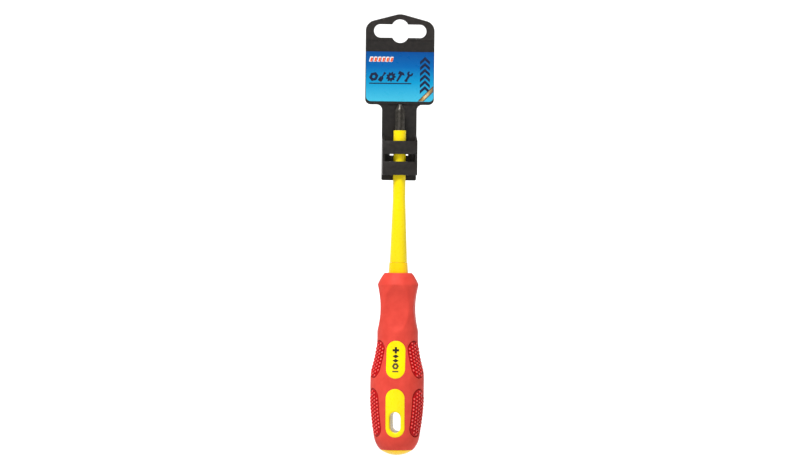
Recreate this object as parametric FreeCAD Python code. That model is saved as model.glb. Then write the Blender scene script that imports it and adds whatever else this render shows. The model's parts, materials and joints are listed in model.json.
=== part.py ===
"""Insulated cross-head screwdriver, hanging tip up by its shaft in the clip of a retail hanger.

Millimetres, +Z up, front towards -Y. The origin is the centre of the hanger's euro slot, on the
hanger's flat back. The driver's axis is parallel to Z, in front of the hanger's stem.
"""

import FreeCAD, Part
import math
import os

V = FreeCAD.Vector

# Hanger: header plate, stem and two-band clip, in one moulding
HEADER_W = 41.5
HEADER_TOP_Z = 10.2
HEADER_SLOPE = 15.0  # degrees, of the two top edges
HEADER_BOTTOM_Z = -44.3
HEADER_T = 2.3
PEAK_R = 9.0
SHOULDER_R = 6.3
CORNER_R = 3.3
EDGE_BEVEL = 0.35
PANEL_W = 38.8  # sunk panel between slot and label
PANEL_TOP_Z = -5.3
PANEL_DEPTH = 0.25
STEM_W = 20.9
STEM_T = 1.8
STEM_BOTTOM_Z = -89.9
STEM_CORNER_R = 0.9
SLOT_W = 31.8
SLOT_BAR_H = 8.1
LOBE_R = 5.3
LOBE_OFFSET = 1.8
BANDS_Z = ((-66.3, -74.2), (-78.7, -86.8))
WINDOWS_Z = ((-66.1, -74.9), (-78.5, -86.5))
WINDOW_W = 11.1
BAND_T = 1.3
BAND_ARCH = 1.25  # how far a band's middle stands in front of its ends
SIDE_WALL_T = 1.3
SIDE_WALL_SETBACK = 0.2  # from the ends of the bands' fronts
SIDE_RAMP_H = 3.4

# Label on the header's front
LABEL_W = 40.9
LABEL_Z = (-12.5, -42.4)
LABEL_T = 0.15
LABEL_CORNER_R = 3.0
LABEL_TOP_R = 0.3

# Driver's place in the clip
AXIS_Y = -5.95
DRIVER_TURN = -9.0  # degrees about its own axis, from facing the front
SADDLE_R = 4.05

# Blade: PH2 tip, 6 mm shank, winged tang
SHANK_R = 3.0
TIP_Z = -44.4
TIP_FLAT_R = 1.15
TIP_HALF_ANGLE = 26.5
FLUTE_LENGTH = 10.0
FLUTE_TIP_R = 0.75  # how far a flute's root lies from the axis at the tip
TANG_END_Z = -203.0
WING_Z = (-180.0, -190.0)
WING_W = 8.6
WING_T = 2.2

# Insulating sleeve
SLEEVE_TOP_Z = -60.0
SLEEVE_R = 3.775
SLEEVE_TAPER_Z = -101.0
SLEEVE_FOOT_Z = -139.2
SLEEVE_FOOT_R = 5.22
SLEEVE_SPIGOT_R = 4.2
SLEEVE_SPIGOT_Z = -150.0
SLEEVE_CHAMFER = 0.3
RUNNING_GAP = 0.05

# Handle, from nose to end
COLLAR_Z = (-139.3, -145.6)
COLLAR_R = (5.5, 5.87)
NOSE_Z = -145.6
NOSE_R = 8.2
NOSE_BULGE = (10.45, -148.8)  # a point on the arc from nose to crest
CREST_Z = -152.6
BODY_R = 12.3
CORNER_Z = -180.7
END_Z = -251.8
END_R = 9.8
BARREL = ((BODY_R, CORNER_Z), (12.22, -185.5), (13.0, -192.5), (14.2, -198.8), (15.7, -203.8),
          (16.25, -208.5), (16.4, -214.5), (16.15, -223.0), (15.3, -232.5), (14.15, -241.2),
          (12.9, -247.0), (11.6, -249.6), (END_R, END_Z))
SKIN_T = 2.6  # soft grip over the hard core
END_LIP_T = 1.4  # soft grip over the core's end
CORE_NECK_R = 8.0
CORE_FLARE_H = 3.0
COLLAR_BEVEL = 0.3
FACET_CUT_R = 44.5
FACET_DEPTH = 2.3
TANG_CORE_R = 6.3
TANG_CORE_Z = (-150.5, -206.0)

# Windows and pads, round the handle
FIELD_W = 11.5
UPPER_FIELD_Z = (-186.1, -208.7)
LOWER_FIELD_Z = (-214.8, -244.0)
WINDOW_PROUD = 0.1
PAD_SUNK = 0.15
PAD_SEAT_DEPTH = 1.4
PAD_ANGLES = {"front_right": 60, "front_left": -60, "back_right": 120, "back_left": -120}
HANG_HOLE_W = 7.0
HANG_HOLE_Z = (-228.8, -241.4)

# End cap
CAP_END_Z = -255.1
CAP_SPIGOT_R = 5.0
CAP_SPIGOT_H = 6.0

REACH = 60.0  # longer than any cut it makes
OVERCUT = 1.0  # how far a cutting tool passes the face that it cuts
TOUCHING = 1e-6  # points nearer than this are one point
FULL_ROUND = 0.999  # share of half the width that rounds a bar's end, so that its arcs don't meet


def rounded_wire(corners):
    """A closed wire in the XZ plane through (x, z, radius) corners, each rounded by an arc."""
    spans = []
    for i, (x, z, radius) in enumerate(corners):
        here = V(x, 0, z)
        before = V(corners[i - 1][0], 0, corners[i - 1][1]) - here
        after = V(corners[(i + 1) % len(corners)][0], 0, corners[(i + 1) % len(corners)][1]) - here
        before.normalize()
        after.normalize()
        half = before.getAngle(after) / 2
        inward = (before + after).normalize()
        reach = radius / math.tan(half)
        middle = here + inward * (radius / math.sin(half) - radius)
        spans.append((here + before * reach, middle, here + after * reach))
    edges = []
    for i, (start, middle, end) in enumerate(spans):
        edges.append(Part.Arc(start, middle, end).toShape())
        following = spans[(i + 1) % len(spans)][0]
        if (following - end).Length > TOUCHING:
            edges.append(Part.LineSegment(end, following).toShape())
    return Part.Wire(edges)


def plate(wire, front, back=0.0):
    """The wire's area from the plane y=-front to the plane y=-back."""
    face = Part.Face(wire)
    face.translate(V(0, -back, 0))
    return face.extrude(V(0, back - front, 0))


def block(x_half, y_low, y_high, z_low, z_high):
    return Part.makeBox(2 * x_half, y_high - y_low, z_high - z_low, V(-x_half, y_low, z_low))


def obround(width, z_high, z_low, y_low, y_high):
    """A bar with full-round ends, its length along Z, running along Y."""
    x = width / 2
    r = FULL_ROUND * x
    corners = [(x, z_high, r), (x, z_low, r), (-x, z_low, r), (-x, z_high, r)]
    bar = plate(rounded_wire(corners), y_high - y_low)
    bar.translate(V(0, y_high, 0))
    return bar


def lathe(edges):
    """The solid that an open chain of (x, z) edges makes when it is closed to the Z axis and turned."""
    wire = Part.Wire(edges)
    ends = [v.Point for v in wire.OrderedVertexes]
    first, last = ends[0], ends[-1]
    closing = []
    for point in (first, last):
        if point.x > TOUCHING:
            closing.append(Part.LineSegment(point, V(0, 0, point.z)).toShape())
    closing.append(Part.LineSegment(V(0, 0, first.z), V(0, 0, last.z)).toShape())
    face = Part.Face(Part.Wire(Part.__sortEdges__(wire.Edges + closing)))
    return Part.Solid(face.revolve(V(0, 0, 0), V(0, 0, 1), 360).Shells[0])


def line_chain(points):
    """Edges through (r, z) points, straight from each to the next."""
    ends = [V(r, 0, z) for r, z in points]
    return [Part.LineSegment(a, b).toShape() for a, b in zip(ends, ends[1:])]


def spline_chain(points):
    curve = Part.BSplineCurve()
    curve.interpolate([V(r, 0, z) for r, z in points])
    return [curve.toShape()]


def header_outline():
    half = HEADER_W / 2
    slope = math.radians(HEADER_SLOPE)
    peak_z = HEADER_TOP_Z + PEAK_R * (1 / math.cos(slope) - 1)
    shoulder_z = peak_z - half * math.tan(slope)
    return [
        (0, peak_z, PEAK_R),
        (half, shoulder_z, SHOULDER_R),
        (half, HEADER_BOTTOM_Z, CORNER_R),
        (-half, HEADER_BOTTOM_Z, CORNER_R),
        (-half, shoulder_z, SHOULDER_R),
    ]


def backing_outline():
    """Header and stem together, with rounded inner corners where the stem starts."""
    half = STEM_W / 2
    header = header_outline()
    stem = [
        (half, HEADER_BOTTOM_Z, CORNER_R),
        (half, STEM_BOTTOM_Z, STEM_CORNER_R),
        (-half, STEM_BOTTOM_Z, STEM_CORNER_R),
        (-half, HEADER_BOTTOM_Z, CORNER_R),
    ]
    return header[:3] + stem + header[3:]


def euro_slot():
    front = HEADER_T + OVERCUT
    x, z = SLOT_W / 2, SLOT_BAR_H / 2
    r = FULL_ROUND * z
    bar = plate(rounded_wire([(-x, z, r), (x, z, r), (x, -z, r), (-x, -z, r)]), front, -OVERCUT)
    for offset in (LOBE_OFFSET, -LOBE_OFFSET):
        lobe = Part.makeCylinder(LOBE_R, front + OVERCUT, V(0, OVERCUT, offset), V(0, -1, 0))
        bar = bar.fuse(lobe)
    return bar


def band_front_y():
    return AXIS_Y - SADDLE_R - BAND_T


def band(z_high, z_low):
    """One strap of the clip: an arched front, and behind it the saddle that holds the shaft."""
    half = STEM_W / 2
    front = band_front_y()
    arch_r = (half**2 + BAND_ARCH**2) / (2 * BAND_ARCH)
    outer = Part.makeCylinder(arch_r, z_high - z_low, V(0, front + arch_r, z_low))
    inner = Part.makeCylinder(arch_r - BAND_T, z_high - z_low, V(0, front + arch_r, z_low))
    strap = outer.cut(inner).common(block(half, front, front + BAND_ARCH + BAND_T, z_low, z_high))
    saddle = block(WINDOW_W / 2, front + BAND_T / 2, AXIS_Y, z_low, z_high)
    shaft_way = Part.makeCylinder(SADDLE_R, z_high - z_low, V(0, AXIS_Y, z_low))
    return strap.fuse(saddle.common(outer)).cut(shaft_way)


def side_wall(side):
    """A wall at one side of the clip, full depth past both bands, with a ramp at its top."""
    depth = band_front_y() + BAND_ARCH + SIDE_WALL_SETBACK
    top = BANDS_Z[0][0]
    bottom = BANDS_Z[1][1]
    points = [
        V(0, -STEM_T / 2, bottom),
        V(0, depth, bottom),
        V(0, depth, top),
        V(0, -STEM_T, top + SIDE_RAMP_H),
        V(0, -STEM_T / 2, top + SIDE_RAMP_H),
    ]
    wall = Part.Face(Part.makePolygon(points + points[:1])).extrude(V(SIDE_WALL_T, 0, 0))
    left = -STEM_W / 2 if side < 0 else STEM_W / 2 - SIDE_WALL_T
    wall.translate(V(left, 0, 0))
    return wall


def make_hanger():
    header = plate(rounded_wire(header_outline()), HEADER_T)
    rim = [e for e in header.Edges if all(abs(v.Y + HEADER_T) < TOUCHING for v in e.Vertexes)]
    header = header.makeChamfer(EDGE_BEVEL, rim)
    body = header.fuse(plate(rounded_wire(backing_outline()), STEM_T))
    body = body.cut(euro_slot())
    panel_front = -HEADER_T - OVERCUT
    panel_back = -HEADER_T + PANEL_DEPTH
    body = body.cut(block(PANEL_W / 2, panel_front, panel_back, LABEL_Z[0], PANEL_TOP_Z))
    for z_high, z_low in WINDOWS_Z:
        body = body.cut(block(WINDOW_W / 2, -STEM_T - OVERCUT, OVERCUT, z_low, z_high))
    for span in BANDS_Z:
        body = body.fuse(band(*span))
    for side in (-1, 1):
        body = body.fuse(side_wall(side))
    return body.removeSplitter()


def make_label():
    half = LABEL_W / 2
    top, bottom = LABEL_Z
    corners = [
        (half, top, LABEL_TOP_R),
        (half, bottom, LABEL_CORNER_R),
        (-half, bottom, LABEL_CORNER_R),
        (-half, top, LABEL_TOP_R),
    ]
    return plate(rounded_wire(corners), HEADER_T + LABEL_T, HEADER_T)


def flute(turn):
    """A V-shaped cut between two of the tip's wings. It runs out at the shank's surface."""
    outward = (SHANK_R - FLUTE_TIP_R) / FLUTE_LENGTH
    root = FLUTE_TIP_R - outward * OVERCUT
    wide = 2 * SHANK_R
    points = [V(root, 0, 0), V(root + wide, wide, 0), V(root + wide, -wide, 0)]
    face = Part.Face(Part.makePolygon(points + points[:1]))
    face.translate(V(0, 0, TIP_Z + OVERCUT))
    length = FLUTE_LENGTH + 2 * OVERCUT
    cut = face.extrude(V(outward * length, 0, -length))
    cut.rotate(V(0, 0, 0), V(0, 0, 1), turn)
    return cut


def make_blade():
    cone_h = (SHANK_R - TIP_FLAT_R) / math.tan(math.radians(TIP_HALF_ANGLE))
    profile = [(TIP_FLAT_R, TIP_Z), (SHANK_R, TIP_Z - cone_h), (SHANK_R, TANG_END_Z)]
    blade = lathe(line_chain(profile))
    for turn in (45, 135, 225, 315):
        blade = blade.cut(flute(turn))
    wings = block(WING_W / 2, -WING_T / 2, WING_T / 2, WING_Z[1], WING_Z[0])
    return blade.fuse(wings).removeSplitter()


def shank_way():
    """The clear way for the shank through the pieces that turn on it."""
    bottom = SLEEVE_SPIGOT_Z - OVERCUT
    top = SLEEVE_TOP_Z + OVERCUT
    return Part.makeCylinder(SHANK_R + RUNNING_GAP, top - bottom, V(0, 0, bottom))


def make_sleeve():
    profile = [
        (SLEEVE_R - SLEEVE_CHAMFER, SLEEVE_TOP_Z),
        (SLEEVE_R, SLEEVE_TOP_Z - SLEEVE_CHAMFER),
        (SLEEVE_R, SLEEVE_TAPER_Z),
        (SLEEVE_FOOT_R, SLEEVE_FOOT_Z),
        (SLEEVE_SPIGOT_R, SLEEVE_FOOT_Z),
        (SLEEVE_SPIGOT_R, SLEEVE_SPIGOT_Z),
    ]
    return lathe(line_chain(profile)).cut(shank_way())


def barrel_chain(offset):
    return spline_chain([(r + offset, z) for r, z in BARREL])


def handle_outside():
    """The whole handle's outer form, without facets, from the nose to the end cap's seat."""
    bulge_r, bulge_z = NOSE_BULGE
    nose = Part.Arc(V(NOSE_R, 0, NOSE_Z), V(bulge_r, 0, bulge_z), V(BODY_R, 0, CREST_Z)).toShape()
    body = line_chain([(BODY_R, CREST_Z), (BODY_R, CORNER_Z)])
    return lathe([nose] + body + barrel_chain(0))


def barrel_solid(offset):
    """The part of the handle below its waist, with its radius changed by offset."""
    return lathe(barrel_chain(offset))


def core_form():
    """The hard core's turned form under the soft grip, with its bare collar."""
    neck = [
        (COLLAR_R[0] - COLLAR_BEVEL, COLLAR_Z[0]),
        (COLLAR_R[0], COLLAR_Z[0] - COLLAR_BEVEL),
        (COLLAR_R[1], COLLAR_Z[1]),
        (CORE_NECK_R, COLLAR_Z[1] - CORE_FLARE_H),
        (CORE_NECK_R, CORNER_Z),
        (BARREL[0][0] - SKIN_T, CORNER_Z),
    ]
    inner = [(r - SKIN_T, z) for r, z in BARREL[:-2]]
    end_r = END_R - END_LIP_T
    end = [inner[-1], (end_r, BARREL[-2][1]), (end_r, END_Z)]
    return lathe(line_chain(neck) + spline_chain(inner) + line_chain(end))


def field(z_span, angle):
    """The obround prism of a window or pad, from the axis outwards at angle from the front."""
    prism = obround(FIELD_W, z_span[0], z_span[1], -REACH, 0)
    prism.rotate(V(0, 0, 0), V(0, 0, 1), angle)
    return prism


def window_fields():
    return [field(span, angle) for span in (UPPER_FIELD_Z, LOWER_FIELD_Z) for angle in (0, 180)]


def make_tang_core(blade):
    top, bottom = TANG_CORE_Z
    return Part.makeCylinder(TANG_CORE_R, top - bottom, V(0, 0, bottom)).cut(blade)


def cap_spigot():
    return Part.makeCylinder(CAP_SPIGOT_R, CAP_SPIGOT_H, V(0, 0, END_Z))


def make_handle_core():
    core = core_form()
    proud = barrel_solid(WINDOW_PROUD)
    for prism in window_fields():
        core = core.fuse(prism.common(proud))
    top, bottom = TANG_CORE_Z
    core = core.cut(Part.makeCylinder(TANG_CORE_R, top - bottom, V(0, 0, bottom)))
    socket_r = SLEEVE_SPIGOT_R + RUNNING_GAP
    core = core.cut(Part.makeCylinder(socket_r, COLLAR_Z[0] - top + OVERCUT, V(0, 0, top)))
    core = core.cut(cap_spigot())
    core = core.cut(obround(HANG_HOLE_W, HANG_HOLE_Z[0], HANG_HOLE_Z[1], -REACH, REACH))
    return core.removeSplitter()


def pad_fields(z_span):
    return {name: field(z_span, angle) for name, angle in PAD_ANGLES.items()}


def make_soft_grip():
    grip = handle_outside()
    for turn in (0, 90, 180, 270):
        scoop = Part.makeCylinder(
            FACET_CUT_R,
            2 * REACH,
            V(-REACH, -(BODY_R - FACET_DEPTH + FACET_CUT_R), (CREST_Z + CORNER_Z) / 2),
            V(1, 0, 0),
        )
        scoop.rotate(V(0, 0, 0), V(0, 0, 1), turn)
        grip = grip.cut(scoop)
    grip = grip.cut(core_form())
    for prism in window_fields():
        grip = grip.cut(prism)
    under_seats = barrel_solid(-PAD_SEAT_DEPTH)
    for span in (UPPER_FIELD_Z, LOWER_FIELD_Z):
        for prism in pad_fields(span).values():
            grip = grip.cut(prism.cut(under_seats))
    return grip.removeSplitter()


def make_pads():
    """One insert for each pad field, seated in the soft grip and ending just under its surface."""
    skin = barrel_solid(-PAD_SUNK).cut(barrel_solid(-PAD_SEAT_DEPTH))
    pads = {}
    for level, span in (("upper", UPPER_FIELD_Z), ("lower", LOWER_FIELD_Z)):
        for name, prism in pad_fields(span).items():
            pads[f"{level}_pad_{name}"] = skin.common(prism)
    return pads


def make_end_cap():
    sag = END_Z - CAP_END_Z
    dome_r = (END_R**2 + sag**2) / (2 * sag)
    quarter = 0.5 * math.asin(END_R / dome_r)
    centre_z = CAP_END_Z + dome_r
    middle = V(dome_r * math.sin(quarter), 0, centre_z - dome_r * math.cos(quarter))
    dome = Part.Arc(V(END_R, 0, END_Z), middle, V(0, 0, CAP_END_Z)).toShape()
    return lathe([dome]).fuse(cap_spigot()).removeSplitter()


def place_driver(shape):
    """From the driver's own axis to its place in the clip."""
    shape.rotate(V(0, 0, 0), V(0, 0, 1), DRIVER_TURN)
    shape.translate(V(0, AXIS_Y, 0))
    return shape


def main():
    blade = make_blade()
    driver = {
        "blade_sleeve": make_sleeve(),
        "tang_core": make_tang_core(blade),
        "blade": blade,
        "handle_core": make_handle_core(),
        "soft_grip": make_soft_grip(),
        "end_cap": make_end_cap(),
        **make_pads(),
    }
    nodes = {"hanger": make_hanger(), "header_label": make_label()}
    for name, shape in driver.items():
        nodes[name] = place_driver(shape)
    os.makedirs("parts", exist_ok=True)
    for name, shape in nodes.items():
        print(name, shape.ShapeType, len(shape.Solids), shape.isValid(), round(shape.Volume, 1))
        shape.exportStep(f"parts/{name}.step")


main()
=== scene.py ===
"""Looks of an insulated screwdriver held tip up in a retail hanger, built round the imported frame.

The frame is in metres, +Z up, front towards -Y. Shapes here are worked out in millimetres: the
hanger's in the frame's own axes, and the driver's round its own axis with its front towards -Y.
"""

import json
import math

import bmesh
import bpy
import numpy as np
from mathutils import Matrix, Vector, geometry
from mathutils.bvhtree import BVHTree


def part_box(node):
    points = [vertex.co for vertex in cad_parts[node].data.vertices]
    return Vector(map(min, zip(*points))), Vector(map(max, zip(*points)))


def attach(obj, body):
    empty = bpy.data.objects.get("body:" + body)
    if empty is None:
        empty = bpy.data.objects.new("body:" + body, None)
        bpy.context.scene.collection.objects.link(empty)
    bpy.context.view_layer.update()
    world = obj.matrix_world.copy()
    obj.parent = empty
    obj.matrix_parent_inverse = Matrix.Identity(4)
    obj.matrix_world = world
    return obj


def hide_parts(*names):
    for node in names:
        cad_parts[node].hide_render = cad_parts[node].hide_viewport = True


MM = 0.001

# Meshes
ARC_STEP = 0.12  # between the points of a rounded corner, at most
GRID_MARGIN = 0.3  # between a grid and its border, as a share of the grid's step
WELD_GAP = 1e-3

# Handle
COLLAR_R = (5.5, 5.87)
COLLAR_BEVEL = 0.3
CORE_NECK_R = 8.0
CORE_FLARE_H = 3.0
SKIN_T = 2.6  # soft grip over the hard core
SHELL_T = 1.3  # of the soft grip's own mesh
NOSE_R = 8.2
NOSE_DROP = 3.2  # below the grip's top
NOSE_BULGE_R = 10.45
CREST_DROP = 7.0
WAIST_DROP = 35.1
EDGE_R = 0.5
END_R = 9.8
END_LIP_T = 1.4
FACET_CUT_R = 44.5  # of a facet's hollow along the handle
FACET_SOFTNESS = 0.3
FACET_TURNS = (0, 90, 180, 270)
GAP_ANGLE = 30  # between a window and a pad, in degrees from the front
RIDGE_ANGLE = 45  # between two facets

# Windows, pads and the hanging hole
LIP_R = 0.3
FIELD_W = 11.5
FIELD_GAP = 0.9  # between a field and the nearest grid point of the grip
GRIP_GROWS = (0.05, 0.14, LIP_R, 0.6)  # of the grip's lines of points round each field
WINDOW_TURNS = (0, 180)
PAD_TURNS = {"front_right": 60, "front_left": -60, "back_right": 120, "back_left": -120}
SEAM_TURN = 90  # where the grip's unrolled sheet starts and ends
UNROLL_R = 14.0  # gives the unrolled sheet its width
GRIP_COLUMNS = 168
WINDOW_PROUD = 0.1
WINDOW_LIP_R = 0.3
WINDOW_GAP = 0.02
WINDOW_UNDER_DEPTH = SKIN_T - 0.1
WINDOW_STEP = 0.9
WINDOW_INSETS = (0.06, 0.14, WINDOW_LIP_R, 0.6)  # of the window's lines of points inside its edge
HOLE_W = 7.0
HOLE_H = 12.6
HOLE_EDGE_R = 0.8
HOLE_GROWS = (0.06, 0.2, 0.45, HOLE_EDGE_R)  # of the lines of points round the hole
HOLE_MOUTH = HOLE_EDGE_R + 0.3  # just past the rounded edge, in depth and round the hole
HOLE_WALL_T = 1.4
HOLE_TOOL_REACH = 30.0  # from the axis, past the handle's surface
PAD_GAP = 0.05
PAD_SEAT_DEPTH = 1.35
PAD_RIM_DEPTH = 0.75
PAD_RIM_W = 0.55
PAD_INSETS = (0.28, 0.4, PAD_RIM_W, 0.75)  # of the pad's lines of points inside its edge
PAD_BASE_DEPTH = 0.35
NUB_R = 0.78
NUB_H = 0.7
NUB_RINGS = (1, 0.97, 0.87, 0.68, 0.4)  # of points on a nub, as shares of its radius
NUB_SPOKES = 12
NUB_COLUMNS = 5
NUB_ACROSS = 2.25
NUB_ALONG = 2.12
NUB_MARGIN = 1.15  # least distance from a nub's middle to the pad's edge

# Sleeve, end cap and marks
SLEEVE_R = 3.775
SLEEVE_BORE_R = 3.05
SLEEVE_TAPER_Z = -101.0
SLEEVE_FOOT_R = 5.22
SLEEVE_SPIGOT_R = 4.2
CAP_SPIGOT_R = 5.0
CAP_SPIGOT_H = 6.0
CAP_STEP = 0.12
INK_T = 0.02
PANEL_H = 7.2  # of the header's sunk panel, over the label's top
PANEL_EDGE_T = 0.04  # half the width of the panel's edge in shade
LABEL_BLUES = [
    (0.0, (0.001, 0.065, 0.27)), (0.3, (0.0, 0.12, 0.39)), (0.62, (0.003, 0.29, 0.55)),
    (1.0, (0.055, 0.48, 0.68)),
]

# Floor
FLOOR_DROP = 150.0  # below the end cap
FLOOR_FLAT_R = 3200.0
FLOOR_CURVE_R = 1800.0
FLOOR_RIM_H = 1500.0

# Studio light
WORLD_STRENGTH = 0.28
KEY_AZIMUTH = -30.0
KEY_ELEVATION = 57.0
KEY_SPREAD = 18.0
KEY_STRENGTH = 4.0

# Camera, in degrees and metres, and its lens in millimetres
CAMERA_AZIMUTH = -4.6
CAMERA_ROLL = 0.6
CAMERA_DISTANCE = 2.4
CAMERA_LENS = 179.6
AIM_Z = -0.1213
AIM_RIGHT = 0.00075  # of the driver's axis


# The frame, and the driver's place in it

def mount(name):
    return next(m for m in frame["record"]["mounts"] if m["name"] == name)


def heights(node):
    """A node's top and bottom, in millimetres."""
    low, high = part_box(node)
    return high.z / MM, low.z / MM


def driver_place():
    """From the driver's own axes to the frame's."""
    axis = Vector(mount("ph2_tip")["pos_m"])
    out_of_hole = Vector(mount("hang_hole")["axis"])
    turn = math.atan2(out_of_hole.x, -out_of_hole.y)
    return Matrix.Translation((axis.x, axis.y, 0)) @ Matrix.Rotation(turn, 4, "Z")


def driver_tree(node):
    """A node's surface in the driver's own axes, in millimetres, to cast rays at."""
    to_driver = Matrix.Scale(1 / MM, 4) @ DRIVER.inverted()
    mesh = frame["nodes"][node].data
    points = [to_driver @ v.co for v in mesh.vertices]
    return BVHTree.FromPolygons(points, [tuple(p.vertices) for p in mesh.polygons])


def radius_at(tree, z, angle):
    """How far a surface is from the driver's axis, at an angle in degrees from its front."""
    outward = Vector((math.sin(math.radians(angle)), -math.cos(math.radians(angle)), 0))
    far = 60.0
    hit = tree.ray_cast(outward * far + Vector((0, 0, z)), -outward)
    return far - hit[3]


# Outlines

def rounded(corners, closed=True):
    """The line through (x, z, radius) corners, with an arc at each corner that has a radius."""
    out = []
    for i, (x, z, radius) in enumerate(corners):
        here = np.array([x, z], float)
        if radius == 0 or (not closed and i in (0, len(corners) - 1)):
            out.append(here)
            continue
        before = np.array(corners[i - 1][:2], float) - here
        after = np.array(corners[(i + 1) % len(corners)][:2], float) - here
        before /= np.linalg.norm(before)
        after /= np.linalg.norm(after)
        half = math.acos(np.clip(before @ after, -1, 1)) / 2
        inward = (before + after) / np.linalg.norm(before + after)
        middle = here + inward * radius / math.sin(half)
        start = here + before * radius / math.tan(half) - middle
        end = here + after * radius / math.tan(half) - middle
        spread = math.pi - 2 * half
        count = max(2, math.ceil(spread * radius / ARC_STEP))
        for k in range(count + 1):
            share = k / count
            blend = math.sin((1 - share) * spread) * start + math.sin(share * spread) * end
            out.append(middle + blend / math.sin(spread))
    return np.array(out)


def densified(line, step, closed=True):
    """A loop, or a line with two ends, with points added along its long sides."""
    out = []
    for a, b in zip(line, [*line[1:], *line[:1]] if closed else line[1:]):
        count = max(1, math.ceil(np.linalg.norm(b - a) / step - 1e-6))
        out += [a + (b - a) * k / count for k in range(count)]
    return np.array(out if closed else [*out, line[-1]])


def obround(width, top, bottom, grow=0.0, step=0.5):
    """An upright bar with full-round ends, in (x, z), made larger by grow all round."""
    r = width / 2
    half_turn = math.pi * np.linspace(0, 1, math.ceil(math.pi * r / step) + 1)
    across = (r + grow) * np.cos(half_turn)
    up = (r + grow) * np.sin(half_turn)
    upper = np.stack([across, top - r + up], axis=1)
    lower = np.stack([-across, bottom + r - up], axis=1)
    return densified(np.concatenate([upper, lower]), step)


def outside_obround(points, width, top, bottom):
    """How far (x, z) points lie outside an upright bar with full-round ends; negative inside."""
    nearest = np.clip(points[:, 1], bottom + width / 2, top - width / 2)
    return np.hypot(points[:, 0], points[:, 1] - nearest) - width / 2


def spline_through(points, step):
    """Evenly spaced points on the natural cubic spline through a line of points."""
    points = np.array(points, float)
    steps = np.linalg.norm(np.diff(points, axis=0), axis=1)
    knots = np.concatenate([[0], np.cumsum(steps)])
    last = len(points) - 1
    system = np.eye(last + 1)
    right = np.zeros_like(points)
    for i in range(1, last):
        system[i, i - 1 : i + 2] = steps[i - 1], 2 * (steps[i - 1] + steps[i]), steps[i]
        rise = (points[i + 1] - points[i]) / steps[i]
        right[i] = 6 * (rise - (points[i] - points[i - 1]) / steps[i - 1])
    bend = np.linalg.solve(system, right)
    at = np.linspace(0, knots[-1], math.ceil(knots[-1] / step) + 1)
    i = np.clip(np.searchsorted(knots, at, side="right") - 1, 0, last - 1)
    w = steps[i][:, None]
    a = (knots[i + 1] - at)[:, None]
    b = (at - knots[i])[:, None]
    curved = (bend[i] * a**3 + bend[i + 1] * b**3) / (6 * w)
    first = (points[i] / w - bend[i] * w / 6) * a
    return curved + first + (points[i + 1] / w - bend[i + 1] * w / 6) * b


def arc_through(a, b, c, count):
    """Points on the arc from a through b to c."""
    (ax, az), (bx, bz), (cx, cz) = a, b, c
    d = 2 * (ax * (bz - cz) + bx * (cz - az) + cx * (az - bz))
    a2, b2, c2 = ax**2 + az**2, bx**2 + bz**2, cx**2 + cz**2
    x = (a2 * (bz - cz) + b2 * (cz - az) + c2 * (az - bz)) / d
    z = (a2 * (cx - bx) + b2 * (ax - cx) + c2 * (bx - ax)) / d
    start, end = math.atan2(az - z, ax - x), math.atan2(cz - z, cx - x)
    r = math.hypot(ax - x, az - z)
    return [(x + r * math.cos(t), z + r * math.sin(t)) for t in np.linspace(start, end, count)]


class Outline:
    """An (r, z) line down the outside of the handle, read by its length or by its height."""

    def __init__(self, points, step):
        self.points = densified(points, step, closed=False)
        runs = np.diff(self.points, axis=0)
        self.lengths = np.concatenate([[0], np.cumsum(np.linalg.norm(runs, axis=1))])
        along = np.gradient(self.points, self.lengths, axis=0)
        along /= np.linalg.norm(along, axis=1)[:, None]
        self.normals = np.stack([-along[:, 1], along[:, 0]], axis=1)

    def at(self, length):
        """Radius, height and the outward direction's two parts, at each length."""
        lines = (*self.points.T, *self.normals.T)
        return [np.interp(length, self.lengths, line) for line in lines]

    def length_at(self, z):
        return np.interp(-np.asarray(z), -self.points[:, 1], self.lengths)


# Meshes

def triangulated(loops, points, keep):
    """The loops' and the other points, and the triangles between them whose middles keep accepts."""
    coords = np.concatenate([*loops, np.reshape(points, (-1, 2))])
    edges = []
    start = 0
    for loop in loops:
        edges += [(start + i, start + (i + 1) % len(loop)) for i in range(len(loop))]
        start += len(loop)
    vectors = [Vector(p) for p in coords]
    _, _, faces, origins, _, _ = geometry.delaunay_2d_cdt(vectors, edges, [], 0, 1e-7)
    source = np.array([ids[0] for ids in origins])
    faces = source[np.array(faces)]
    return coords, faces[keep(coords[faces].mean(axis=1))]


def inside(loops):
    """A test of (x, z) points: whether they are inside the loops, by the even-odd rule."""

    def test(points):
        odd = np.zeros(len(points), bool)
        for loop in loops:
            for (x1, z1), (x2, z2) in zip(loop, np.roll(loop, -1, axis=0)):
                if z1 == z2:
                    continue
                crosses = (z1 > points[:, 1]) != (z2 > points[:, 1])
                odd ^= crosses & (points[:, 0] < x1 + (points[:, 1] - z1) * (x2 - x1) / (z2 - z1))
        return odd

    return test


def walls(first, second):
    """Four-sided faces between two lines of vertices with as many points."""
    return [
        (first[i], first[i + 1], second[i + 1], second[i]) for i in range(len(first) - 1)
    ]


def ring(start, count):
    """The vertex numbers of a closed loop, back to its first."""
    return [*range(start, start + count), start]


def slab(borders, creases, points, top, bottom):
    """A closed slab: a sheet inside the borders, the same sheet under it, and walls between."""
    coords, faces = triangulated([*borders, *creases], points, inside(borders))
    count = len(coords)
    all_faces = [*faces.tolist(), *(faces[:, ::-1] + count).tolist()]
    start = 0
    for border in borders:
        all_faces += walls(ring(start, len(border)), ring(start + count, len(border)))
        start += len(border)
    return np.concatenate([top(coords), bottom(coords)]), all_faces


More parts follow.
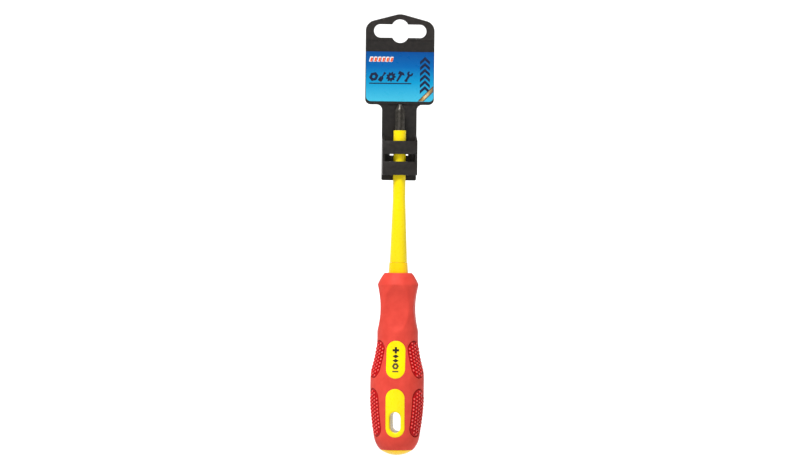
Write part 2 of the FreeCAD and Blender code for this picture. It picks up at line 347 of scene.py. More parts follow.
def turned(outline, segments=128, closed=False):
    """A shell from an (r, z) outline turned round the axis, from axis to axis or closed on itself."""
    outline = np.array(outline)
    angles = 2 * math.pi * np.arange(segments) / segments
    x = outline[:, 0, None] * np.cos(angles)
    y = outline[:, 0, None] * np.sin(angles)
    z = np.broadcast_to(outline[:, 1, None], x.shape)
    rows = [ring(k * segments, segments) for k in range(len(outline))]
    pairs = list(zip(rows, rows[1:])) + ([(rows[-1], rows[0])] if closed else [])
    faces = [face for a, b in pairs for face in walls(a, b)]
    return np.stack([x, y, z], axis=2).reshape(-1, 3), faces


def carved(shell, tool):
    """The first shell without the space that the second one fills."""
    objects = []
    for verts, faces in (shell, tool):
        mesh = bpy.data.meshes.new("scratch")
        mesh.from_pydata(np.asarray(verts).tolist(), [], faces)
        weld(mesh)
        obj = bpy.data.objects.new("scratch", mesh)
        bpy.context.scene.collection.objects.link(obj)
        objects.append(obj)
    cut = objects[0].modifiers.new("cut", "BOOLEAN")
    cut.operation = "DIFFERENCE"
    cut.solver = "EXACT"
    cut.object = objects[1]
    result = bpy.data.meshes.new_from_object(
        objects[0].evaluated_get(bpy.context.evaluated_depsgraph_get())
    )
    verts = np.array([v.co for v in result.vertices])
    faces = [tuple(p.vertices) for p in result.polygons]
    for obj in objects:
        bpy.data.meshes.remove(obj.data)
    bpy.data.meshes.remove(result)
    return verts, faces


def weld(mesh):
    """Merges doubled vertices, drops unused ones and turns every face outwards."""
    edit = bmesh.new()
    edit.from_mesh(mesh)
    unused = [v for v in edit.verts if not v.link_faces]
    bmesh.ops.delete(edit, geom=unused, context="VERTS")
    bmesh.ops.remove_doubles(edit, verts=edit.verts, dist=WELD_GAP)
    bmesh.ops.recalc_face_normals(edit, faces=edit.faces)
    edit.to_mesh(mesh)
    edit.free()


def piece(name, shells, body, nodes, materials, place, sharp=35.0, heights_of=None):
    """An object of closed shells in millimetres. A shell is (vertices, faces[, material number])."""
    mesh = bpy.data.meshes.new(name)
    verts, faces, numbers = [], [], []
    for shell in shells:
        start = len(verts)
        verts += np.asarray(shell[0]).tolist()
        faces += [tuple(i + start for i in face) for face in shell[1]]
        numbers += [shell[2] if len(shell) > 2 else 0] * len(shell[1])
    mesh.from_pydata(verts, [], faces)
    for material in materials:
        mesh.materials.append(material)
    mesh.polygons.foreach_set("material_index", numbers)
    if heights_of is not None:
        attribute = mesh.attributes.new("height", "FLOAT", "POINT")
        attribute.data.foreach_set("value", heights_of.astype(np.float32))
    weld(mesh)
    mesh.transform(place @ Matrix.Scale(MM, 4))
    mesh.shade_smooth()
    mesh.set_sharp_from_angle(angle=math.radians(sharp))
    obj = bpy.data.objects.new(name, mesh)
    bpy.context.scene.collection.objects.link(obj)
    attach(obj, body)
    if nodes:
        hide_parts(*nodes)


# The handle's surface

def handle_outline():
    """The grip's outside from its top's inner edge, over nose and barrel, to its end's inner edge."""
    tree = driver_tree("soft_grip")
    top, end = heights("soft_grip")
    crest, waist = top - CREST_DROP, top - WAIST_DROP
    body_r = radius_at(tree, (crest + waist) / 2, RIDGE_ANGLE)
    nose = arc_through((NOSE_R, top), (NOSE_BULGE_R, top - NOSE_DROP), (body_r, crest), 7)
    quarter_turn = np.linspace(0, math.pi / 2, 18)[1:-1]
    stations = [waist - (waist - end) * math.sin(t) for t in quarter_turn]
    barrel = [(body_r, waist)]
    barrel += [(radius_at(tree, z, GAP_ANGLE), z) for z in stations] + [(END_R, end)]
    corners = [(COLLAR_R[1] + PAD_GAP, top, 0), (NOSE_R, top, EDGE_R)]
    corners += [(r, z, 0) for r, z in nose[1:-1]]
    corners += [(body_r, crest, EDGE_R), (body_r, waist, 0)]
    corners += [(r, z, 0) for r, z in spline_through(barrel, 0.5)[1:]]
    corners += [(END_R - END_LIP_T, end, 0)]
    return Outline(rounded(corners, closed=False), 0.6)


def facet_radius(angle, z, deepest):
    """How far from the axis the four thumb facets let the surface be; angle is in radians."""
    rise = np.clip(z - FACET_Z, -FACET_CUT_R / 2, FACET_CUT_R / 2)
    depth = deepest + FACET_CUT_R - np.sqrt(FACET_CUT_R**2 - rise**2)
    off = np.min(
        [np.abs((angle - math.radians(t) + math.pi) % (2 * math.pi) - math.pi) for t in FACET_TURNS],
        axis=0,
    )
    return depth / np.cos(off)


def soft_least(a, b, blend):
    """The smaller of two numbers, rounded over where they are within blend of each other."""
    share = np.clip(0.5 + 0.5 * (b - a) / blend, 0, 1)
    return b * (1 - share) + a * share - blend * share * (1 - share)


def lip(distance, radius):
    """How far a rounded edge has dropped, at a distance from the edge's wall."""
    left = np.clip(radius - distance, 0, radius)
    return radius - np.sqrt(radius**2 - left**2)


def on_handle(angle, length, height):
    """Points on the handle at angles from its front and lengths down its outline, raised by height."""
    r, z, out_r, out_z = OUTLINE.at(length)
    r = soft_least(r, facet_radius(angle, z, FACET_R), FACET_SOFTNESS)
    r = r + height * out_r
    return np.stack([r * np.sin(angle), -r * np.cos(angle), z + height * out_z], axis=1)


def on_field(coords, height, turn):
    """Points of a window or pad, (x, z) across and along it, on the barrel at turn degrees."""
    length = OUTLINE.length_at(coords[:, 1])
    radius = OUTLINE.at(length)[0]
    return on_handle(math.radians(turn) + np.arcsin(coords[:, 0] / radius), length, height)


def field_spans():
    """Each field's top and bottom: the windows and pads of one ring share them."""
    return {level: heights(f"{level}_pad_front_right") for level in ("upper", "lower")}


def grip_fields():
    """Each field's top and bottom, and its middle's angle as the unrolled grip has it."""
    for span in field_spans().values():
        for turn in (*WINDOW_TURNS, *PAD_TURNS.values()):
            yield span, math.radians(turn if turn < SEAM_TURN else turn - 360)


def outside_field(off, radius, z, span):
    """How far places on the barrel lie outside a field, at angles off its middle."""
    across = np.where(np.abs(off) < math.pi / 2, radius * np.sin(off), 2 * FIELD_W)
    return outside_obround(np.stack([across, z], axis=1), FIELD_W, *span)


# Pieces

def grip_border(columns, rows):
    """Round the unrolled grip: down one side of the seam, along its end, and up the other side."""
    left, right = columns[0] * UNROLL_R, columns[-1] * UNROLL_R
    return np.array(
        [(left, s) for s in rows]
        + [(c * UNROLL_R, rows[-1]) for c in columns[1:]]
        + [(right, s) for s in rows[-2::-1]]
        + [(c * UNROLL_R, rows[0]) for c in columns[-2:0:-1]]
    )


def unrolled_field(span, centre, grow):
    """A field's edge on the unrolled grip, made larger by grow all round."""
    loop = obround(FIELD_W, *span, grow)
    length = OUTLINE.length_at(loop[:, 1])
    angle = centre + np.arcsin(loop[:, 0] / OUTLINE.at(length)[0])
    return np.stack([angle * UNROLL_R, length], axis=1)


def lip_depth(angle, length):
    """How far the grip's surface has dropped, at the rounded lips of its openings."""
    r, z = OUTLINE.at(length)[:2]
    depth = np.zeros(len(angle))
    for span, centre in grip_fields():
        off = (angle - centre + math.pi) % (2 * math.pi) - math.pi
        depth = np.maximum(depth, lip(outside_field(off, r, z, span), LIP_R))
    return depth


def make_grip():
    """The soft grip: one skin round the handle, open at the windows and pads."""
    start = math.radians(SEAM_TURN) - 2 * math.pi
    columns = start + 2 * math.pi * np.arange(GRIP_COLUMNS + 1) / GRIP_COLUMNS
    rows = OUTLINE.lengths
    border = grip_border(columns, rows)
    grid = np.array([(c, s) for c in columns[1:-1] for s in rows[1:-1]])
    grid_r, grid_z = OUTLINE.at(grid[:, 1])[:2]
    clear = np.ones(len(grid), bool)
    edges, creases = [], []
    for span, centre in grip_fields():
        clear &= outside_field(grid[:, 0] - centre, grid_r, grid_z, span) > FIELD_GAP
        edges.append(unrolled_field(span, centre, 0.0))
        creases += [unrolled_field(span, centre, grow) for grow in GRIP_GROWS]
    grid = grid[clear] * (UNROLL_R, 1)
    in_fields = inside(edges)
    coords, faces = triangulated([border, *edges, *creases], grid, lambda p: ~in_fields(p))
    angle, length = coords[:, 0] / UNROLL_R, coords[:, 1]
    outer = on_handle(angle, length, -lip_depth(angle, length))
    # The skin thins out towards the collar.
    thickness = np.clip(1.2 * (OUTLINE.at(length)[0] - COLLAR_R[1]), PAD_GAP, SHELL_T)
    verts = np.concatenate([outer, on_handle(angle, length, -thickness)])
    count = len(coords)
    all_faces = [*faces.tolist(), *(faces[:, ::-1] + count).tolist()]
    low_edge = list(range(len(rows) - 1, len(rows) + len(columns) - 1))
    top_edge = [*range(2 * len(rows) + len(columns) - 3, len(border)), 0]
    for line in (low_edge, top_edge):
        all_faces += walls(line, [i + count for i in line])
    first = len(border)
    for edge in edges:
        all_faces += walls(ring(first, len(edge)), ring(first + count, len(edge)))
        first += len(edge)
    piece("soft_grip", [(verts, all_faces)], "driver", ["soft_grip"],
          [grip_material()], DRIVER, sharp=40)


def nub_middles(top, bottom):
    """The middles of a pad's nubs: upright columns, every second one half a step higher."""
    middle = (top + bottom) / 2
    out = []
    for column in range(NUB_COLUMNS):
        x = (column - (NUB_COLUMNS - 1) / 2) * NUB_ACROSS
        shift = 0.5 * NUB_ALONG * (column % 2)
        reach = math.ceil((top - bottom) / NUB_ALONG / 2) + 1
        out += [(x, middle + shift + k * NUB_ALONG) for k in range(-reach, reach + 1)]
    out = np.array(out)
    return out[outside_obround(out, FIELD_W, top, bottom) < -NUB_MARGIN]


def pad_height(coords, top, bottom, middles):
    """Height over the grip's surface: a sunk rim, a base, and a domed nub at each middle."""
    edge = -outside_obround(coords, FIELD_W, top, bottom)
    share = np.clip((edge - PAD_RIM_W / 2) / (PAD_RIM_W / 2), 0, 1)
    rise = share * share * (3 - 2 * share)
    base = -PAD_RIM_DEPTH + (PAD_RIM_DEPTH - PAD_BASE_DEPTH) * rise
    apart = np.linalg.norm(coords[:, None, :] - middles[None, :, :], axis=2).min(axis=1)
    dome = np.clip(1 - (apart / NUB_R) ** 2.4, 0, 1) ** 0.5
    return base + NUB_H * dome


def make_pads(material):
    """The eight nubbed inserts: one shape for each ring, at four turns about the axis."""
    for level, (top, bottom) in field_spans().items():
        middles = nub_middles(top, bottom)
        border = obround(FIELD_W, top, bottom, -PAD_GAP)
        creases = [obround(FIELD_W, top, bottom, -inset) for inset in PAD_INSETS]
        turns = 2 * math.pi * np.arange(NUB_SPOKES) / NUB_SPOKES
        spokes = np.stack([np.cos(turns), np.sin(turns)], axis=1)
        rings = [middles[:, None, :] + share * NUB_R * spokes for share in NUB_RINGS]
        points = np.concatenate([middles, *(r.reshape(-1, 2) for r in rings)])
        coords, faces = triangulated([border, *creases], points, inside([border]))
        height = pad_height(coords, top, bottom, middles)
        under_points = grid_in(border, 2.0)
        under, under_faces = triangulated([border], under_points, inside([border]))
        count = len(coords)
        faces = [*faces.tolist(), *(under_faces[:, ::-1] + count).tolist()]
        faces += walls(ring(0, len(border)), ring(count, len(border)))
        # the heights, which the pad's material turns into painted shade and highlight
        shade = np.concatenate([height, np.full(len(under), -PAD_SEAT_DEPTH)])
        for name, turn in PAD_TURNS.items():
            verts = np.concatenate([
                on_field(coords, height, turn),
                on_field(under, np.full(len(under), -PAD_SEAT_DEPTH), turn),
            ])
            node = f"{level}_pad_{name}"
            piece(node, [(verts, faces)], "driver", [node], [material], DRIVER,
                  sharp=60, heights_of=shade)


def grid_in(border, step):
    """Evenly spaced points inside a border, no nearer to its points than a share of the step."""
    low, high = border.min(axis=0), border.max(axis=0)
    x = np.arange(low[0] + step / 2, high[0], step)
    z = np.arange(low[1] + step / 2, high[1], step)
    points = np.stack(np.meshgrid(x, z), axis=2).reshape(-1, 2)
    points = points[inside([border])(points)]
    near = np.linalg.norm(points[:, None, :] - border[None, :, :], axis=2).min(axis=1)
    return points[near > GRID_MARGIN * step]


def hole_span():
    """The hanging hole's top and bottom."""
    middle = mount("hang_hole")["pos_m"][2] / MM
    return middle + HOLE_H / 2, middle - HOLE_H / 2


def window_top(top, bottom, turn, hole=None):
    """A window's surface at turn: proud of the barrel, rounded at its edge and round its hole."""

    def shape(coords):
        edge = -outside_obround(coords, FIELD_W, top, bottom)
        height = WINDOW_PROUD - lip(edge, WINDOW_LIP_R)
        if hole:
            height -= lip(outside_obround(coords, HOLE_W, *hole), HOLE_EDGE_R)
        return on_field(coords, height, turn)

    return shape


def at_depth(depth, turn):
    """A field's sheet at turn, sunk by depth under the barrel's surface."""
    return lambda coords: on_field(coords, np.full(len(coords), -depth), turn)


def upper_windows():
    """The two plain windows, as slabs down to the core."""
    top, bottom = field_spans()["upper"]
    border = obround(FIELD_W, top, bottom, -WINDOW_GAP)
    creases = [obround(FIELD_W, top, bottom, -inset) for inset in WINDOW_INSETS]
    points = grid_in(creases[-1], WINDOW_STEP)
    return [
        slab([border], creases, points, window_top(top, bottom, turn),
             at_depth(WINDOW_UNDER_DEPTH, turn))
        for turn in WINDOW_TURNS
    ]


def holed_windows():
    """The two lower windows and the hanging hole through them, as one closed spool."""
    top, bottom = field_spans()["lower"]
    hole = hole_span()
    border = obround(FIELD_W, top, bottom, -WINDOW_GAP)
    edge = obround(HOLE_W, *hole)
    creases = [obround(FIELD_W, top, bottom, -inset) for inset in WINDOW_INSETS]
    points = grid_in(creases[-1], WINDOW_STEP)
    creases += [obround(HOLE_W, *hole, grow) for grow in HOLE_GROWS]
    points = points[outside_obround(points, HOLE_W, *hole) > HOLE_MOUTH]
    coords, faces = triangulated([border, edge, *creases], points, inside([border, edge]))
    outer_tube = obround(HOLE_W, *hole, HOLE_WALL_T)
    under, under_faces = triangulated([border, outer_tube], [], inside([border, outer_tube]))
    inner = at_depth(HOLE_MOUTH, 0)(edge)
    window = window_top(top, bottom, 0, hole)(coords)
    front = np.concatenate([window, inner, at_depth(WINDOW_UNDER_DEPTH, 0)(under)])
    back = front * (1, -1, 1)
    inner_start, half = len(coords), len(front)
    under_start = inner_start + len(edge)
    edge_ring, inner_ring = ring(len(border), len(edge)), ring(inner_start, len(edge))
    sheet = [*faces.tolist(), *(under_faces[:, ::-1] + under_start).tolist()]
    sheet += walls(ring(0, len(border)), ring(under_start, len(border)))
    sheet += walls(edge_ring, inner_ring)
    all_faces = sheet + [tuple(i + half for i in face[::-1]) for face in sheet]
    all_faces += walls(inner_ring, [i + half for i in inner_ring])
    tube_ring = ring(under_start + len(border), len(outer_tube))
    all_faces += walls(tube_ring, [i + half for i in tube_ring])
    return np.concatenate([front, back]), all_faces


def core_shell():
    """The turned core with its collar, hidden below the collar, cut clear of the hanging hole."""
    collar_top, end = heights("handle_core")
    grip_top = heights("soft_grip")[0]
    waist = grip_top - WAIST_DROP
    outline = rounded([
        (0, collar_top, 0),
        (COLLAR_R[0], collar_top, COLLAR_BEVEL),
        (COLLAR_R[1], grip_top, 0.3),
        (CORE_NECK_R, grip_top - CORE_FLARE_H, 0),
        (CORE_NECK_R, waist, 0),
        (OUTLINE.at(OUTLINE.length_at(waist))[0] - SKIN_T, waist, 0),
    ], closed=False)
    depths = np.linspace(waist, end, 40)[1:-3]
    barrel = [(OUTLINE.at(OUTLINE.length_at(z))[0] - SKIN_T, z) for z in depths]
    outline = [*outline, *barrel, (END_R - END_LIP_T, end), (0, end)]
    tool_loop = obround(HOLE_W, *hole_span(), HOLE_WALL_T, 1.0)
    front, back = facing(-HOLE_TOOL_REACH), facing(HOLE_TOOL_REACH)
    tool = slab([tool_loop], [], [], front, back)
    return carved(turned(outline, 96), tool)


def make_core(yellow, gold):
    shells = [(*core_shell(), 1), *upper_windows(), holed_windows()]
    piece("handle_core", shells, "driver", ["handle_core"],
          [yellow, gold], DRIVER)


def make_sleeve(yellow):
    """The insulating sleeve: straight to the taper, then flaring down to the collar."""
    top, bottom = heights("blade_sleeve")
    foot = heights("handle_core")[0] + 0.1
    outline = rounded([
        (SLEEVE_BORE_R, top, 0.25),
        (SLEEVE_R, top, 0.35),
        (SLEEVE_R, SLEEVE_TAPER_Z, 40.0),
        (SLEEVE_FOOT_R, foot, 0.2),
        (SLEEVE_SPIGOT_R, foot, 0),
        (SLEEVE_SPIGOT_R, bottom, 0),
        (SLEEVE_BORE_R, bottom, 0),
    ])
    piece("blade_sleeve", [turned(outline, closed=True)], "sleeve", ["blade_sleeve"],
          [yellow], DRIVER)


def make_end_cap(gold):
    """The domed cap, with a small step where it meets the grip, and its hidden spigot."""
    bottom = heights("end_cap")[1]
    seat = heights("soft_grip")[1]
    sag = seat - bottom
    dome_r = (END_R**2 + sag**2) / (2 * sag)
    spread = math.asin(END_R / dome_r)
    dome = [
        (dome_r * math.sin(t), bottom + dome_r * (1 - math.cos(t)))
        for t in np.linspace(0.97 * spread, 0, 24)
    ]
    start = [(0, seat + CAP_SPIGOT_H, 0), (CAP_SPIGOT_R, seat + CAP_SPIGOT_H, 0.5)]
    start += [(CAP_SPIGOT_R, seat, 0), (END_R - CAP_STEP, seat, CAP_STEP)]
    outline = rounded([*start, *((r, z, 0) for r, z in dome)], closed=False)
    piece("end_cap", [turned(outline)], "driver", ["end_cap"], [gold], DRIVER)


# Printed marks: each is a list of loops in its own millimetres, dark inside by the even-odd rule

def moved(loops, x, z, turn=0.0, slant=0.0):
    """Loops turned, leaned over by slant and moved, in that order."""
    c, s = math.cos(math.radians(turn)), math.sin(math.radians(turn))
    rows = np.array([[c, s], [-s, c]]) @ np.array([[1, 0], [slant, 1]])
    return [loop @ rows + (x, z) for loop in loops]


def bar(width, height, radius=0.15):
    x, z = width / 2, height / 2
    return rounded([(x, z, radius), (x, -z, radius), (-x, -z, radius), (-x, z, radius)])


def polygon(radius, sides):
    turns = 2 * math.pi * np.arange(sides) / sides
    return np.stack([radius * np.cos(turns), radius * np.sin(turns)], axis=1)


def gear(radius, teeth):
    """A toothed wheel's outside, four corners to each tooth."""
    turns = 2 * math.pi * (np.arange(4 * teeth) - 0.5) / (4 * teeth)
    out = np.where(np.arange(4 * teeth) % 4 < 2, radius, 0.76 * radius)
    return np.stack([out * np.cos(turns), out * np.sin(turns)], axis=1)


def plus(reach, width):
    a, b = reach / 2, width / 2
    corners = [(b, a), (b, b), (a, b), (a, -b), (b, -b), (b, -a)]
    return np.array(corners + [(-x, -z) for x, z in corners])


def screwdriver_mark():
    """A driver, as one outline."""
    side = [(0.75, 2.9), (0.8, 2.2), (0.42, 1.7), (0.42, 0.1), (1.2, -0.4), (1.35, -2.5), (0.8, -3.0)]
    return [np.array([*side, *((-x, z) for x, z in side[::-1])])]


def spanner_mark():
    """An open-jawed spanner, as one outline."""
    jaw = [(0.7, 0.6), (1.6, 1.2), (1.9, 2.3), (1.3, 3.2), (0.65, 2.9), (0.75, 2.1), (0, 1.6)]
    mirrored = [(-x, z) for x, z in jaw[-2::-1]]
    shaft = [(-0.7, -1.9), (-1.1, -2.5), (-0.5, -3.2), (0.5, -3.2), (1.1, -2.5), (0.7, -1.9)]
    return [np.array(jaw + mirrored + shaft)]


def hammer_mark():
    """A claw hammer, as one outline."""
    head = [(-2.0, 3.1), (0.9, 3.1), (2.4, 2.0), (0.7, 1.5)]
    shaft = [(0.6, -3.0), (-0.6, -3.0)]
    claw = [(-0.7, 1.2), (-2.0, 1.2)]
    return [np.array(head + shaft + claw)]


def facing(y):
    """A sheet's points on the plane at y."""
    return lambda coords: np.stack([coords[:, 0], np.full(len(coords), y), coords[:, 1]], axis=1)


def label_marks():
    """Marks by ink, each a list of loops: leaning blocks, tools over a rule, arrowheads, a ribbon."""
    blocks = [(x, -17.3) for x in np.linspace(-17.2, -5.0, 6)]
    tools = [
        ([polygon(2.8, 6), polygon(0.95, 20)], 12),
        (screwdriver_mark(), -28),
        ([gear(3.0, 9), polygon(0.8, 17)], 0),
        (hammer_mark(), -24),
        (spanner_mark(), -24),
    ]
    navy = [moved([bar(25.4, 0.62, 0.1)], -5.8, -31.6)]
    for (tool, turn), x in zip(tools, np.linspace(-15.8, 5.0, len(tools))):
        navy.append(moved(tool, x, -27.6, turn, 0.15))
    arrow = np.array([(0, 2.6), (3.0, -0.2), (3.0, -2.2), (0, 0.6), (-3.0, -2.2), (-3.0, -0.2)])
    navy += [moved([arrow], 15.1, z) for z in np.linspace(-18.0, -35.5, 6)]
    return {
        "white": [moved([bar(2.0, 3.1, 0.5)], x - 0.2, z + 0.2, 0, 0.25) for x, z in blocks],
        "orange": [moved([bar(1.4, 2.4, 0.4)], x, z, 0, 0.25) for x, z in blocks],
        "navy": navy,
        "brown": [ribbon(1.85)],
        "gold": [ribbon(1.2)],
    }


def ribbon(spread):
    """A strip across the label's lower right corner, ending on its right and bottom edges."""
    right, right_z, bottom_x, bottom = 20.2, -34.6, 12.6, -42.2
    return [np.array([
        (right, right_z + spread), (bottom_x - spread, bottom),
        (bottom_x + spread, bottom), (right, right_z - spread),
    ])]


def make_label_print(inks):
    """Thin slabs on the label, each ink lying a little over the one before it."""
    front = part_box("header_label")[0].y / MM
    shells = []
    for number, marks in enumerate(label_marks().values()):
        top = facing(front - INK_T * (1 + number / 2))
        bottom = facing(front + INK_T)
        shells += [(*slab(mark, [], [], top, bottom), number) for mark in marks]
    piece("label_inks", shells, "hanger", [], inks, Matrix.Identity(4), sharp=20)


def make_window_print(ink):
    """A small column of marks on each upper window: a cross, diamonds, a nut and bars."""
    top, bottom = field_spans()["upper"]
    middle = (top + bottom) / 2
    diamond = np.array([(0, 1.15), (1.9, 0), (0, -1.15), (-1.9, 0)])
    marks = [
        moved([plus(3.9, 1.35)], 0, 5.6),
        moved([diamond], 0, 2.0),
        moved([diamond], 0, -0.6),
        moved([polygon(2.1, 6), polygon(0.7, 15)], 0, -3.9),
        moved([bar(3.7, 0.95)], 0, -7.0),
    ]
    shells = []
    for turn in WINDOW_TURNS:
        for mark in marks:
            loops = [densified(loop, 0.4) + (0, middle) for loop in mark]
            points = grid_in(loops[0], 0.5)
            points = points[inside(loops)(points)]
            above = at_depth(-WINDOW_PROUD - INK_T, turn)
            shells.append(slab(loops, [], points, above, at_depth(-WINDOW_PROUD + INK_T, turn)))
    piece("window_inks", shells, "driver", [], [ink], DRIVER, sharp=20)


# Materials

class Shader:
    """A material whose nodes are added one call at a time. Its place output is in millimetres."""

    def __init__(self, name, roughness):
        self.material = bpy.data.materials.new(name)
        self.material.use_nodes = True
        self.nodes = self.material.node_tree.nodes
        self.links = self.material.node_tree.links
        self.surface = self.nodes["Principled BSDF"]
        self.surface.inputs["Roughness"].default_value = roughness
        coords = self.nodes.new("ShaderNodeTexCoord")
        scale = self.nodes.new("ShaderNodeVectorMath")
        scale.operation = "SCALE"
        scale.inputs["Scale"].default_value = 1 / MM
        self.links.new(coords.outputs["Object"], scale.inputs[0])
        self.place = scale.outputs[0]

    def set(self, name, value):
        self.surface.inputs[name].default_value = value

    def to(self, name, output):
        self.links.new(output, self.surface.inputs[name])

    def stretched(self, factors):
        node = self.nodes.new("ShaderNodeVectorMath")
        node.operation = "MULTIPLY"
        node.inputs[1].default_value = factors
        self.links.new(self.place, node.inputs[0])
        return node.outputs[0]

    def noise(self, size, detail, factors=(1, 1, 1)):
        """Noise from 0 to 1 with features about size millimetres across."""
        node = self.nodes.new("ShaderNodeTexNoise")
        node.inputs["Scale"].default_value = 1 / size
        node.inputs["Detail"].default_value = detail
        self.links.new(self.stretched(factors), node.inputs["Vector"])
        return node.outputs["Fac"]

    def along(self, axis, low, high):
        """The place along an axis, as 0 at low to 1 at high."""
        split = self.nodes.new("ShaderNodeSeparateXYZ")
        self.links.new(self.place, split.inputs[0])
        return self.share(split.outputs[axis], low, high)

    def share(self, value, low, high):
        """A value as 0 at low to 1 at high."""
        node = self.nodes.new("ShaderNodeMapRange")
        node.inputs["From Min"].default_value = low
        node.inputs["From Max"].default_value = high
        self.links.new(value, node.inputs["Value"])
        return node.outputs["Result"]

    def attribute(self, name):
        node = self.nodes.new("ShaderNodeAttribute")
        node.attribute_name = name
        return node.outputs["Fac"]

    def ramp(self, value, stops):
        """Colours or numbers at places from 0 to 1."""
        node = self.nodes.new("ShaderNodeValToRGB")
        elements = node.color_ramp.elements
        while len(elements) < len(stops):
            elements.new(0.5)
        for element, (position, colour) in zip(elements, stops):
            element.position = position
            element.color = (*colour, 1) if isinstance(colour, tuple) else (colour,) * 3 + (1,)
        self.links.new(value, node.inputs["Fac"])
        return node.outputs["Color"]

    def multiplied(self, first, second):
        """Two colours multiplied. The node's colour sockets share their names with its others."""
        node = self.nodes.new("ShaderNodeMix")
        node.data_type = "RGBA"
        node.blend_type = "MULTIPLY"
        node.inputs[0].default_value = 1.0
        self.links.new(first, node.inputs[6])
        self.links.new(second, node.inputs[7])
        return node.outputs[2]

    def bump(self, height, depth):
        """A relief of depth millimetres from a height of 0 to 1, over any relief added before."""
        node = self.nodes.new("ShaderNodeBump")
        node.inputs["Distance"].default_value = depth * MM
        self.links.new(height, node.inputs["Height"])
        normal = self.surface.inputs["Normal"]
        if normal.is_linked:
            self.links.new(normal.links[0].from_socket, node.inputs["Normal"])
        self.links.new(node.outputs["Normal"], normal)


def grip_material():
    """Soft-touch rubber: matt, finely spark-eroded, with a faint mottle."""
    m = Shader("soft_touch_red", 0.6)
    mottle = [(0.3, (0.58, 0.046, 0.03)), (0.7, (0.66, 0.06, 0.04))]
    m.to("Base Color", m.ramp(m.noise(5.0, 4), mottle))
    m.to("Roughness", m.ramp(m.noise(2.0, 3), [(0.3, 0.52), (0.7, 0.64)]))
    m.set("Specular IOR Level", 0.15)
    m.bump(m.noise(0.16, 2), 0.006)
    m.bump(m.noise(2.5, 2), 0.012)
    return m.material


def pad_material():
    """Crimson rubber, with painted shade deep in the rim and between nubs, and a painted highlight on
    the nubs' tops.
    """
    m = Shader("nub_crimson", 0.38)
    share = m.share(m.attribute("height"), -PAD_RIM_DEPTH, NUB_H - PAD_BASE_DEPTH)
    # painted shade and highlight by height: darkest in the sunk rim, deep between the nubs, lightest on
    # the nubs' tops
    colour = m.ramp(share, [
        (0.0, (0.17, 0.0004, 0.002)), (0.36, (0.45, 0.0008, 0.003)), (0.75, (0.66, 0.008, 0.008)),
        (1.0, (0.9, 0.16, 0.14)),
    ])
    mottle = m.ramp(m.noise(1.2, 3), [(0.3, 0.88), (0.7, 1.0)])
    m.to("Base Color", m.multiplied(colour, mottle))
    m.to("Roughness", m.ramp(m.noise(0.8, 2), [(0.3, 0.34), (0.7, 0.46)]))
    m.set("Specular IOR Level", 0.12)
    m.bump(m.noise(0.12, 2), 0.004)
    return m.material


def nylon_material(name, dark, light):
    """Glossy insulating nylon, with faint flow marks and a fine orange peel."""
    m = Shader(name, 0.28)
    m.to("Base Color", m.ramp(m.noise(6.0, 3, (1, 1, 0.25)), [(0.25, dark), (0.75, light)]))
    m.to("Roughness", m.ramp(m.noise(1.5, 3), [(0.3, 0.24), (0.7, 0.36)]))
    m.set("Specular IOR Level", 0.2)
    m.bump(m.noise(0.8, 2), 0.004)
    return m.material


def black_material():
    """Black polypropylene: fine moulded grain, cloudy gloss, and a darker sunk panel."""
    m = Shader("hanger_polypropylene", 0.5)
    cloudy = m.ramp(m.noise(2.2, 5), [(0.3, (0.0085, 0.0065, 0.0055)), (0.72, (0.024, 0.0185, 0.0155))])
    edge = heights("header_label")[0] + PANEL_H
    panel = m.ramp(m.along("Z", edge - PANEL_EDGE_T, edge + PANEL_EDGE_T), [(0.0, 0.62), (1.0, 1.0)])
    m.to("Base Color", m.multiplied(cloudy, panel))
    m.to("Roughness", m.ramp(m.noise(3.0, 4, (1, 1, 0.3)), [(0.3, 0.4), (0.7, 0.62)]))
    m.set("Specular IOR Level", 0.35)
    m.bump(m.noise(0.3, 3), 0.01)
    return m.material


def steel_material():
    """Dark phosphated chrome-vanadium steel, with grinding marks along the blade."""
    m = Shader("phosphated_steel", 0.42)
    m.set("Metallic", 0.85)
    patches = [(0.25, (0.028, 0.025, 0.021)), (0.75, (0.085, 0.077, 0.066))]
    m.to("Base Color", m.ramp(m.noise(1.6, 5), patches))
    m.to("Roughness", m.ramp(m.noise(0.7, 4), [(0.3, 0.32), (0.7, 0.52)]))
    m.bump(m.noise(0.25, 3, (1, 1, 0.12)), 0.012)
    return m.material


def core_material():
    """Natural nylon, inside the handle."""
    m = Shader("natural_nylon", 0.45)
    m.to("Base Color", m.ramp(m.noise(3.0, 3), [(0.3, (0.62, 0.57, 0.46)), (0.7, (0.7, 0.65, 0.54))]))
    m.bump(m.noise(0.5, 2), 0.01)
    return m.material


def label_material():
    """Printed film: deep blue at the top to pale blue at the bottom, with a faint screen grain."""
    top, bottom = heights("header_label")
    m = Shader("label_film", 0.3)
    blue = m.ramp(m.along("Z", top, bottom), LABEL_BLUES)
    grain = m.ramp(m.noise(0.35, 2), [(0.3, 0.92), (0.7, 1.0)])
    m.to("Base Color", m.multiplied(blue, grain))
    m.to("Roughness", m.ramp(m.noise(4.0, 3), [(0.3, 0.26), (0.7, 0.36)]))
    m.set("Specular IOR Level", 0.15)
    m.bump(m.noise(5.0, 2), 0.01)
    return m.material


def ink_material(name, light, dark):
    m = Shader(name, 0.4)
    m.to("Base Color", m.ramp(m.noise(1.2, 3), [(0.35, dark), (0.65, light)]))
    m.set("Specular IOR Level", 0.3)
    m.bump(m.noise(0.2, 2), 0.002)
    return m.material


